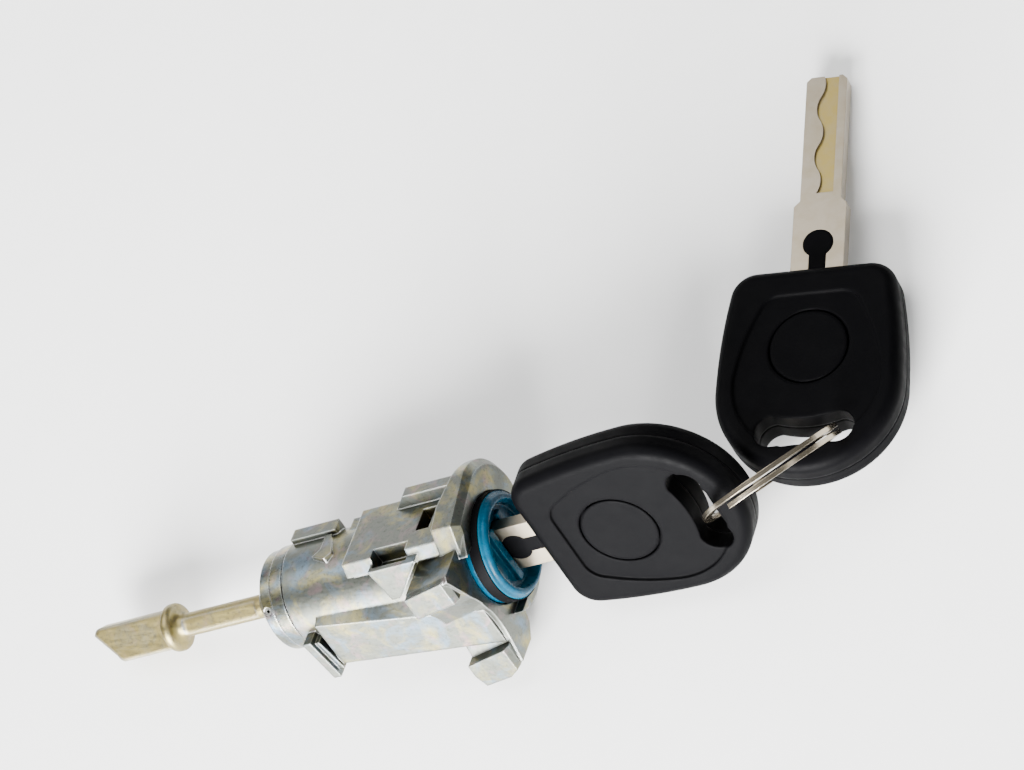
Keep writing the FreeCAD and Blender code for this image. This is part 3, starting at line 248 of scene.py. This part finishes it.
# Plastics, rubber and glass
def grained_abs(name, tone, size):
    """ABS, injection moulded in a spark-eroded tool: an even black matt skin, greyer where it is handled."""
    finish = Finish(name)
    rounded, edge = finish.edges(size.moulded_edge)
    handled = finish.noise(7.0 * MM, detail=5.0, roughness=0.65)
    colour = finish.blend(finish.share(handled, start=0.48, full=0.72, most=0.5), tone.bow, tone.bow_worn)
    colour = finish.blend(finish.share(edge, most=0.35), colour, tone.bow_worn)
    rubs = finish.noise(2.4 * MM, detail=4.0, roughness=0.6)
    roughness = finish.span(rubs, low=0.35, high=0.7, to_low=0.42, to_high=0.56)
    # The real grain is under 0.1 mm across, drawn at twice that so that it shows
    grain = finish.noise(size.bow_grain, detail=2.0)
    normal = finish.bump(grain, depth=0.03 * MM, strength=0.5, normal=rounded)
    return finish.done(
        Base_Color=colour, Roughness=roughness, IOR=1.54, Specular_IOR_Level=BOW_SHEEN, Normal=normal
    )


def moulded_cap(name, tone):
    """Glass-filled nylon, injection moulded in a polished tool: deep teal, a soft gloss and pale scuffs."""
    finish = Finish(name)
    rounded, edge = finish.edges(0.5 * MM)
    streaks = finish.noise(3.5 * MM, detail=4.0, roughness=0.6, distortion=0.5)
    colour = finish.blend(finish.share(streaks, start=0.42, full=0.7, most=0.8), tone.cap, tone.cap_deep)
    scuffs = finish.noise(0.7 * MM, detail=5.0, roughness=0.7, distortion=0.4, stretch=(1.0, 0.4, 1.0))
    colour = finish.blend(finish.share(scuffs, start=0.6, full=0.75, most=0.3), colour, tone.cap_scuff)
    colour = finish.blend(finish.share(edge, most=0.4), colour, tone.cap_scuff)
    rubs = finish.noise(1.2 * MM, detail=4.0, roughness=0.6)
    roughness = finish.span(rubs, low=0.35, high=0.7, to_low=0.2, to_high=0.4)
    normal = finish.bump(finish.noise(0.4 * MM), depth=0.02 * MM, strength=0.25, normal=rounded)
    return finish.done(
        Base_Color=colour, Roughness=roughness, IOR=1.53, Specular_IOR_Level=CAP_SHEEN, Normal=normal
    )


def nitrile_rubber(name, tone):
    """Nitrile rubber, moulded: black and dull with a faint bloom."""
    finish = Finish(name)
    bloom = finish.noise(1.5 * MM, detail=4.0, roughness=0.6)
    colour = finish.blend(finish.share(bloom, start=0.5, full=0.75, most=0.5), tone.rubber, tone.bow_worn)
    normal = finish.bump(finish.noise(0.25 * MM), depth=0.02 * MM, strength=0.3)
    return finish.done(
        Base_Color=colour, Roughness=0.6, IOR=1.52, Specular_IOR_Level=RUBBER_SHEEN, Normal=normal
    )


def glass_capsule(name, tone):
    """Soda glass, drawn and sealed: clear, a little green in its thickness."""
    finish = Finish(name)
    tint = finish.blend(finish.noise(2.0 * MM), tone.glass, tone.glass_deep)
    return finish.done(Base_Color=tint, Roughness=0.05, IOR=1.52, Transmission_Weight=1.0)


# What a user would change
class DoorLockColours(bpy.types.PropertyGroup):
    """The colours of the finishes."""

    zinc: swatch("Zinc", "Die-cast zinc under its clear film", "#666962")
    straw_film: swatch("Straw film", "Where the film on the zinc turns to straw", "#A3985E")
    rose_film: swatch("Rose film", "Where the film on the zinc turns to rose", "#97797E")
    blue_film: swatch("Blue film", "Where the film on the zinc turns to blue", "#667F96")
    dull_speck: swatch("Dull specks", "Dull specks left on the zinc by tumbling", "#4C4E48")
    # Painted shade that darkens the castings' corners; it is not a colour of the zinc
    painted_corner_shade: swatch("Painted corner shade", "Shade painted into the corners of the castings", "#262622")
    # Lighter colour for the castings' edges: partly rubbed wear, partly a painted highlight
    rubbed_edge_and_highlight: swatch("Rubbed edge and highlight", "Zinc rubbed bright along its edges, with a painted highlight", "#D4D6D4")
    tail: swatch("Tail zinc", "Yellow-passivated zinc of the tail", "#887C50")
    nickel: swatch("Nickel", "Nickel plating of the blades and the ring", "#A49A89")
    nickel_warm: swatch("Warm nickel", "Nickel plating where it has yellowed", "#978B73")
    track: swatch("Milled track", "Straw-yellow floor of the track milled in a blade", "#A08E55")
    spring: swatch("Spring steel", "Oiled steel of the springs, the washer and the pin", "#7C7B77")
    brass: swatch("Brass", "Brass of the plug and the wafers", "#B79650")
    brass_brown: swatch("Brown brass", "Brass browned by handling", "#8E7138")
    cap: swatch("Cap", "Moulded teal cap", "#003D54")
    cap_deep: swatch("Cap, deep", "Darker streaks in the cap", "#002635")
    cap_scuff: swatch("Cap scuff", "Pale scuffs on the cap", "#08657C")
    bow: swatch("Bow", "Black of the bows and the tongues", "#040405")
    bow_worn: swatch("Worn bow", "Black plastic greyed by handling", "#070708")
    rubber: swatch("Rubber", "Black of the cap's seal", "#030304")
    glass: swatch("Glass", "Clear glass of the capsules", "#DCEBE2")
    glass_deep: swatch("Glass, deep", "Green of the glass in its thickness", "#C8DDD2")
    paper: swatch("Paper", "White paper under the part", "#F7F7F6")
    paper_shade: swatch("Paper, shade", "Mottle in the paper", "#F3F3F2")
    sky: swatch("Sky", "Soft light from all round", "#EEF1F4")


class DoorLockSizes(bpy.types.PropertyGroup):
    """The sizes of the finishes' detail and of the floor."""

    film_patch: length("Film patch", "Width of a coloured patch in the film on the zinc", 6.0)
    speck: length("Speck", "Width of a dull speck on the zinc", 0.6)
    cast_skin: length("Cast skin", "Width of the orange peel on a casting", 0.7)
    cast_edge: length("Cast edge", "Radius of a casting's edges", 0.4)
    tail_edge: length("Tail edge", "Radius of the tail's edges", 1.1)
    cut_edge: length("Cut edge", "Radius of a cut or stamped edge", 0.12)
    moulded_edge: length("Moulded edge", "Radius of the edges moulded in the bows", 0.7)
    tool_line: length("Tool line", "Spacing of the lines left by drawing and milling", 0.25)
    bow_grain: length("Bow grain", "Width of the grain on the bows", 0.2)
    track_depth: length("Track depth", "Depth of the track milled in a blade", 0.45)
    floor: length("Floor", "Width of the floor", 3000.0)


def colours():
    """The scene's colours."""
    return bpy.context.scene.door_lock_colours


def sizes():
    """The scene's sizes."""
    return bpy.context.scene.door_lock_sizes


# Pieces
class DOORLOCK_OT_housing(bpy.types.Operator):
    """Finish the die-cast housing"""

    bl_idname = "door_lock.housing"
    bl_label = "Housing"

    def execute(self, context):
        tone, size = colours(), sizes()
        dress("housing", zinc_casting(
            "zinc_die_cast_clear_passivated", tone, size, tone.zinc, film=0.7, rough=0.34,
            edge_radius=size.cast_edge,
        ))
        return {"FINISHED"}


class DOORLOCK_OT_driver(bpy.types.Operator):
    """Finish the driver's disc and cone and the sleeve"""

    bl_idname = "door_lock.driver"
    bl_label = "Driver and sleeve"

    def execute(self, context):
        tone, size = colours(), sizes()
        casting = zinc_casting(
            "zinc_die_cast_straw_passivated", tone, size, tone.zinc, film=0.8, rough=0.27,
            edge_radius=size.cast_edge,
        )
        for node in ("driver_cone", "driver_disc", "sleeve"):
            dress(node, casting)
        return {"FINISHED"}


class DOORLOCK_OT_tail(bpy.types.Operator):
    """Finish the tail shaft"""

    bl_idname = "door_lock.tail"
    bl_label = "Tail shaft"

    def execute(self, context):
        tone, size = colours(), sizes()
        dress("tail_shaft", zinc_casting(
            "zinc_die_cast_yellow_passivated", tone, size, tone.tail, film=0.25, rough=0.36,
            edge_radius=size.tail_edge,
        ))
        return {"FINISHED"}


class DOORLOCK_OT_steel(bpy.types.Operator):
    """Finish the springs, the washer and the roll pin"""

    bl_idname = "door_lock.steel"
    bl_label = "Springs, washer and pin"

    def execute(self, context):
        tone = colours()
        oiled = plated_steel("spring_steel_drawn_oiled", sizes(), tone.spring, tone.dull_speck, rough=0.35)
        for node in ("roll_pin", "return_spring", "wafer_springs", "thrust_washer"):
            dress(node, oiled)
        return {"FINISHED"}


class DOORLOCK_OT_brass(bpy.types.Operator):
    """Finish the plug and the wafers"""

    bl_idname = "door_lock.brass"
    bl_label = "Plug and wafers"

    def execute(self, context):
        tone = colours()
        brass = stamped_brass("brass_stamped_tumbled", sizes(), tone.brass, tone.brass_brown)
        for node in ("plug", *WAFERS):
            dress(node, brass)
        return {"FINISHED"}


class DOORLOCK_OT_cap(bpy.types.Operator):
    """Finish the face cap and its seal"""

    bl_idname = "door_lock.cap"
    bl_label = "Cap and seal"

    def execute(self, context):
        dress("front_cap", moulded_cap("nylon_cap_moulded", colours()))
        dress("cap_seal", nitrile_rubber("nitrile_rubber_moulded", colours()))
        return {"FINISHED"}


class DOORLOCK_OT_blades(bpy.types.Operator):
    """Finish the two blades, with the floor of each milled track in straw"""

    bl_idname = "door_lock.blades"
    bl_label = "Blades"

    def execute(self, context):
        tone = colours()
        plating = plated_steel(
            "steel_blade_nickel_plated", sizes(), tone.nickel, tone.nickel_warm, rough=0.3,
            stretch=(1.0, 0.2, 1.0),
        )
        milled = plated_steel(
            "steel_track_milled_lacquered", sizes(), tone.track, tone.nickel_warm, rough=0.38
        )
        for key in KEYS:
            blade = dress(f"{key}_blade", plating, milled)
            for face in track_faces(blade.data):
                face.material_index = TRACK_SLOT
        return {"FINISHED"}


def track_faces(mesh):
    """The flat faces that lie one track's depth under a blade's two broad faces."""
    broad = max(mesh.polygons, key=lambda face: face.area).normal.copy()
    heights = [vertex.co.dot(broad) for vertex in mesh.vertices]
    top, low = max(heights), min(heights)
    depth = sizes().track_depth
    floors = (top - depth, low + depth)
    return [
        face for face in mesh.polygons
        if abs(face.normal.dot(broad)) > FLAT_FACING
        and min(abs(face.center.dot(broad) - floor) for floor in floors) < TRACK_SLACK
    ]


class DOORLOCK_OT_bows(bpy.types.Operator):
    """Finish the bows' shells, badges and tongues"""

    bl_idname = "door_lock.bows"
    bl_label = "Bows"

    def execute(self, context):
        plastic = grained_abs("abs_moulded_spark_grained", colours(), sizes())
        for key in KEYS:
            for piece in ("front_shell", "back_shell", "badge", "tongue"):
                dress(f"{key}_{piece}", plastic)
        return {"FINISHED"}


class DOORLOCK_OT_chips(bpy.types.Operator):
    """Finish the glass capsules in the bows"""

    bl_idname = "door_lock.chips"
    bl_label = "Glass capsules"

    def execute(self, context):
        glass = glass_capsule("soda_glass_drawn", colours())
        for key in KEYS:
            dress(f"{key}_chip", glass)
        return {"FINISHED"}


class DOORLOCK_OT_ring(bpy.types.Operator):
    """Finish the split ring"""

    bl_idname = "door_lock.ring"
    bl_label = "Split ring"

    def execute(self, context):
        tone = colours()
        dress("split_ring", plated_steel(
            "spring_steel_nickel_plated", sizes(), tone.nickel, tone.nickel_warm, rough=0.2
        ))
        return {"FINISHED"}


# Stage
# The camera as fitted to the photograph, in metres, radians and millimetres
CAMERA_PLACE = (0.301294, -0.252733, 0.558146)
CAMERA_TURN = (0.4173206, 0.4928547, -0.0010099)
CAMERA_LENS = 146.51
CAMERA_NEAR = 0.01
# Name, place in metres, watts and width in metres
LIGHTS = (
    ("key", (-0.15, -1.02, 0.36), 120.0, 0.7),
    ("low", (-0.5, -0.98, 0.13), 16.0, 0.42),
    ("right", (0.95, -0.3, 0.55), 2.5, 0.6),
    ("back", (-0.45, 0.95, 0.35), 2.0, 0.7),
    ("over", (-0.35, 0.3, 1.1), 18.0, 1.1),
)
SKY_STRENGTH = 0.35


class DOORLOCK_OT_stage(bpy.types.Operator):
    """Set the floor, the camera, the lights and the sky"""

    bl_idname = "door_lock.stage"
    bl_label = "Stage"

    def execute(self, context):
        tone = colours()
        half = sizes().floor * 0.5
        low = CAD_BOX[0][2]
        mesh = bpy.data.meshes.new("floor")
        corners = [(-half, -half, low), (half, -half, low), (half, half, low), (-half, half, low)]
        mesh.from_pydata(corners, [], [(0, 1, 2, 3)])
        floor = bpy.data.objects.new("floor", mesh)
        context.collection.objects.link(floor)
        # Uncoated paper: white, without gloss, its fibre too fine to show beyond a faint mottle
        paper = Finish("paper_uncoated")
        mottle = paper.blend(paper.noise(8.0 * MM), tone.paper, tone.paper_shade)
        mesh.materials.append(paper.done(Base_Color=mottle, Roughness=0.9))

        lens = bpy.data.cameras.new("camera")
        lens.lens = CAMERA_LENS
        lens.clip_start = CAMERA_NEAR
        camera = bpy.data.objects.new("camera", lens)
        camera.location = CAMERA_PLACE
        camera.rotation_euler = Euler(CAMERA_TURN, "XYZ")
        context.collection.objects.link(camera)
        context.scene.camera = camera

        middle = (Vector(CAD_BOX[0]) + Vector(CAD_BOX[1])) * 0.5
        for name, spot, power, width in LIGHTS:
            lamp = bpy.data.lights.new(name, "AREA")
            lamp.energy = power
            lamp.size = width
            light = bpy.data.objects.new(name, lamp)
            light.location = spot
            light.rotation_euler = (middle - Vector(spot)).to_track_quat("-Z", "Y").to_euler()
            context.collection.objects.link(light)
        sky = bpy.data.worlds.new("sky")
        sky.use_nodes = True
        glow = sky.node_tree.nodes["Background"]
        glow.inputs["Color"].default_value = tone.sky
        glow.inputs["Strength"].default_value = SKY_STRENGTH
        context.scene.world = sky
        return {"FINISHED"}


class DOORLOCK_PT_panel(bpy.types.Panel):
    """The pieces, their colours and their sizes"""

    bl_idname = "DOORLOCK_PT_panel"
    bl_label = "Door lock cylinder"
    bl_space_type = "VIEW_3D"
    bl_region_type = "UI"
    bl_category = "Door lock"

    def draw(self, context):
        for operator in OPERATORS:
            self.layout.operator(operator.bl_idname)
        for group in (colours(), sizes()):
            box = self.layout.box()
            for name in group.__annotations__:
                box.prop(group, name)


OPERATORS = (
    DOORLOCK_OT_housing,
    DOORLOCK_OT_driver,
    DOORLOCK_OT_tail,
    DOORLOCK_OT_steel,
    DOORLOCK_OT_brass,
    DOORLOCK_OT_cap,
    DOORLOCK_OT_blades,
    DOORLOCK_OT_bows,
    DOORLOCK_OT_chips,
    DOORLOCK_OT_ring,
    DOORLOCK_OT_stage,
)
CLASSES = (DoorLockColours, DoorLockSizes, *OPERATORS, DOORLOCK_PT_panel)


def register():
    """Add the classes and the scene's settings."""
    for item in CLASSES:
        bpy.utils.register_class(item)
    bpy.types.Scene.door_lock_colours = bpy.props.PointerProperty(type=DoorLockColours)
    bpy.types.Scene.door_lock_sizes = bpy.props.PointerProperty(type=DoorLockSizes)


def unregister():
    """Take the classes and the scene's settings away."""
    del bpy.types.Scene.door_lock_sizes
    del bpy.types.Scene.door_lock_colours
    for item in reversed(CLASSES):
        bpy.utils.unregister_class(item)


def main():
    """Register the add-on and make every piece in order."""
    register()
    bpy.ops.door_lock.housing()
    bpy.ops.door_lock.driver()
    bpy.ops.door_lock.tail()
    bpy.ops.door_lock.steel()
    bpy.ops.door_lock.brass()
    bpy.ops.door_lock.cap()
    bpy.ops.door_lock.blades()
    bpy.ops.door_lock.bows()
    bpy.ops.door_lock.chips()
    bpy.ops.door_lock.ring()
    bpy.ops.door_lock.stage()


if __name__ == "__main__":
    main()
